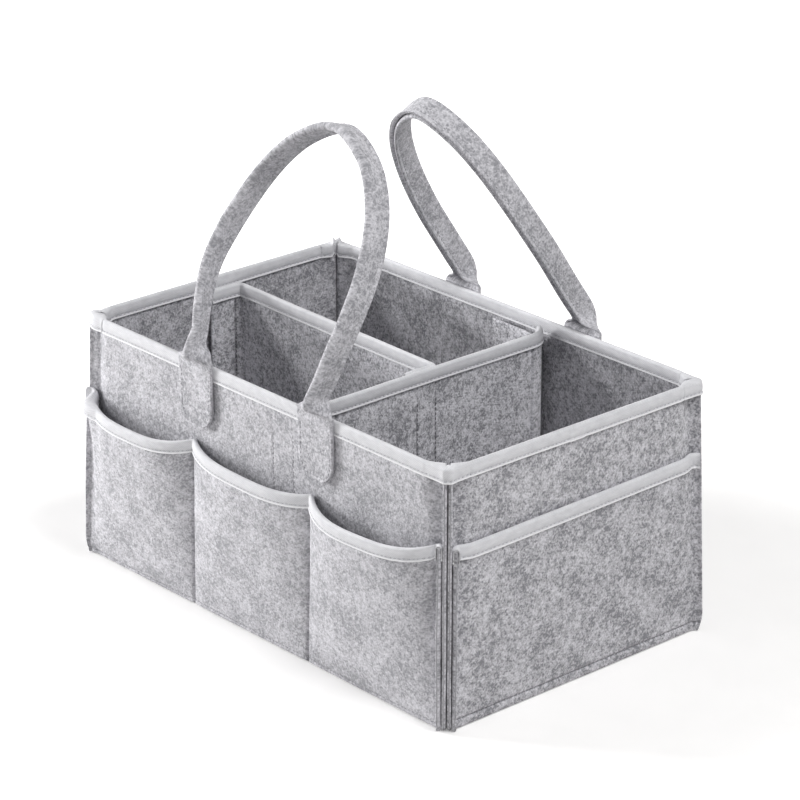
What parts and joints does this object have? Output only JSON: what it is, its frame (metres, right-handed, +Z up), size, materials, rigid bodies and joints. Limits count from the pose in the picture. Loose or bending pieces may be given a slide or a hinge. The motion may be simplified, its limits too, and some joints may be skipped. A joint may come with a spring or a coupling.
{
  "type": "diaper caddy",
  "caption": "Open felt basket with sewn pockets round the outside, lift-out dividers that split it into compartments, and folded felt strap handles that swing over the rim.",
  "frame": {"origin": "middle of the underside", "axes": "+X along the length, towards the end wall beside the undivided compartment; -Y towards the front long wall; +Z up"},
  "size_m": [0.3954, 0.2724, 0.3582],
  "materials": {
    "felt": "matte heather-grey felt",
    "inner_felt": "matte heather-grey felt",
    "binding": "light grey woven binding tape",
    "hook_and_loop": "matte grey hook-and-loop tape"
  },
  "bodies": {
    "basket": {"bottom_panel": "inner_felt", "front_wall": "felt", "back_wall": "felt", "left_end_wall": "felt", "right_end_wall": "felt", "rim_binding": "binding", "front_pocket_strip": "felt", "front_pocket_binding": "binding", "back_pocket_strip": "felt", "back_pocket_binding": "binding", "left_end_pocket_panel": "felt", "left_end_pocket_binding": "binding", "right_end_pocket_panel": "felt", "right_end_pocket_binding": "binding", "front_wall_hook_strip": "hook_and_loop", "back_wall_hook_strip": "hook_and_loop", "left_end_wall_hook_strip": "hook_and_loop", "front_handle_tab_left": "felt", "front_handle_tab_right": "felt", "back_handle_tab_left": "felt", "back_handle_tab_right": "felt"},
    "front_handle": {"front_handle_strap": "felt", "front_handle_fold_left": "felt", "front_handle_fold_right": "felt"},
    "back_handle": {"back_handle_strap": "felt", "back_handle_fold_left": "felt", "back_handle_fold_right": "felt"},
    "cross_divider": {"cross_divider_panel": "inner_felt", "cross_divider_binding": "binding", "cross_divider_loop_strip_front": "hook_and_loop", "cross_divider_loop_strip_back": "hook_and_loop", "cross_divider_hook_strip": "hook_and_loop"},
    "long_divider": {"long_divider_panel": "inner_felt", "long_divider_binding": "binding", "long_divider_loop_strip_right": "hook_and_loop", "long_divider_loop_strip_left": "hook_and_loop"}
  },
  "joints": [
    {"name": "front_handle_swing", "type": "hinge", "parent": "basket", "child": "front_handle", "pos_m": [0.0004, -0.12115, 0.1863], "axis": [1, 0, 0], "range_deg": [-5, 155], "deforming": ["front_handle_fold_left", "front_handle_fold_right"]},
    {"name": "back_handle_swing", "type": "hinge", "parent": "basket", "child": "back_handle", "pos_m": [0.0085, 0.12115, 0.1863], "axis": [1, 0, 0], "range_deg": [-155, 3], "deforming": ["back_handle_fold_left", "back_handle_fold_right"]},
    {"name": "cross_divider_lift", "type": "slide", "parent": "basket", "child": "cross_divider", "axis": [0, 0, 1], "range_m": [0, 0.105]},
    {"name": "long_divider_lift", "type": "slide", "parent": "basket", "child": "long_divider", "axis": [0, 0, 1], "range_m": [0, 0.13]}
  ]
}
